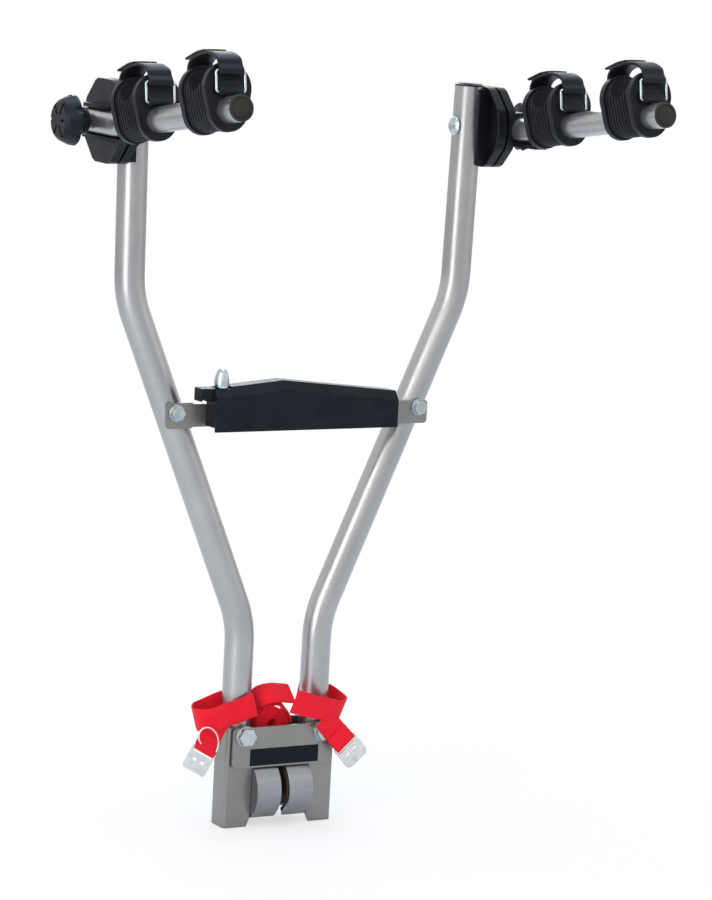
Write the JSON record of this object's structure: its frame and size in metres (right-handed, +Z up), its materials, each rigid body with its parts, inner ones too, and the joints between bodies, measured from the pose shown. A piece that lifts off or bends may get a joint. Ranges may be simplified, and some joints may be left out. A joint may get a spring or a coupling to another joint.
{
  "type": "towbar bike rack",
  "caption": "V-shaped rack that clamps on a tow ball; two folding arms with padded cradles and straps carry bicycles, locked by a hand lever.",
  "frame": {"origin": "centre of the tow ball that the jaws hold", "axes": "+X across the car to the right as the picture shows it, +Y towards the car, +Z up; X = 0 is the plane of symmetry of the uprights"},
  "size_m": [0.543, 0.3447, 0.8024],
  "materials": {
    "arm_paint": "satin silver-grey paint",
    "base_steel": "satin warm grey paint on folded steel",
    "zinc": "bright zinc plate",
    "black_plastic": "moulded black plastic, fine grain",
    "black_rubber": "soft black rubber, matt",
    "jaw_rubber": "dark brown rubber lining",
    "red_webbing": "woven red polyester webbing"
  },
  "bodies": {
    "bridge": {"front_plate": "base_steel", "rear_plate": "base_steel", "pivot_bolts": "zinc", "pivot_nuts": "zinc", "pivot_spacers": "zinc", "safety_strap_left": "red_webbing", "safety_strap_arch": "red_webbing", "safety_strap_coil": "red_webbing", "safety_strap_right": "red_webbing", "left_hook": "zinc", "right_hook": "zinc"},
    "left_side": {"left_upright": "arm_paint", "left_base_angle": "base_steel", "left_jaw": "base_steel", "left_jaw_liner": "jaw_rubber", "left_top_plug": "black_plastic", "left_knuckle_base": "black_plastic", "left_joint_bolt": "zinc", "left_link_bolt": "zinc"},
    "right_side": {"right_upright": "arm_paint", "right_base_angle": "base_steel", "right_jaw": "base_steel", "right_jaw_liner": "jaw_rubber", "right_top_plug": "black_plastic", "right_knuckle_base": "black_plastic", "right_joint_bolt": "zinc", "right_handle_bolt": "zinc"},
    "left_carrier": {"left_arm_tube": "arm_paint", "left_arm_plugs": "black_plastic", "left_knuckle_arm": "black_plastic", "left_cradle_inner": "black_rubber", "left_cradle_outer": "black_rubber", "left_strap_inner": "black_rubber", "left_strap_outer": "black_rubber", "left_buckle_inner": "zinc", "left_buckle_outer": "zinc"},
    "right_carrier": {"right_arm_tube": "arm_paint", "right_arm_plugs": "black_plastic", "right_knuckle_arm": "black_plastic", "right_cradle_inner": "black_rubber", "right_cradle_outer": "black_rubber", "right_strap_inner": "black_rubber", "right_strap_outer": "black_rubber", "right_buckle_inner": "zinc", "right_buckle_outer": "zinc"},
    "left_knob": {"left_knob": "black_plastic"},
    "right_knob": {"right_knob": "black_plastic"},
    "link": {"left_link": "base_steel"},
    "handle": {"handle_bar": "base_steel", "toggle_rivet": "zinc", "handle_cover": "black_plastic"},
    "plunger": {"plunger": "zinc"}
  },
  "joints": [
    {"name": "left_fold", "type": "hinge", "parent": "bridge", "child": "left_side", "pos_m": [-0.045, 0, 0.06], "axis": [0, 1, 0], "range_deg": [0, 12]},
    {"name": "right_fold", "type": "hinge", "parent": "bridge", "child": "right_side", "pos_m": [0.045, 0, 0.06], "axis": [0, 1, 0], "range_deg": [-12, 0]},
    {"name": "link_swing", "type": "hinge", "parent": "left_side", "child": "link", "pos_m": [-0.13811, -0.016, 0.394], "axis": [0, 1, 0], "range_deg": [-73.16, 0]},
    {"name": "handle_swing", "type": "hinge", "parent": "right_side", "child": "handle", "pos_m": [0.13811, -0.019, 0.394], "axis": [0, 1, 0], "range_deg": [0, 73.16]},
    {"name": "left_arm_fold", "type": "hinge", "parent": "left_side", "child": "left_carrier", "pos_m": [-0.23073, 0, 0.681], "axis": [1, 0, 0], "range_deg": [0, 90]},
    {"name": "right_arm_fold", "type": "hinge", "parent": "right_side", "child": "right_carrier", "pos_m": [0.23073, 0, 0.681], "axis": [1, 0, 0], "range_deg": [0, 90]},
    {"name": "left_knob_spin", "type": "hinge", "parent": "left_side", "child": "left_knob", "pos_m": [-0.25073, 0, 0.681], "axis": [1, 0, 0], "continuous": true},
    {"name": "right_knob_spin", "type": "hinge", "parent": "right_side", "child": "right_knob", "pos_m": [0.25073, 0, 0.681], "axis": [1, 0, 0], "continuous": true},
    {"name": "plunger_slide", "type": "slide", "parent": "handle", "child": "plunger", "axis": [0, 0, 1], "range_m": [0, 0.008], "stiffness_N_per_m": 200}
  ],
  "couplings": [
    {"joint": "right_fold", "follows": "left_fold", "ratio": -1},
    {"joint": "link_swing", "follows": "left_fold", "ratio": -6.0962},
    {"joint": "handle_swing", "follows": "left_fold", "ratio": 6.0962}
  ]
}
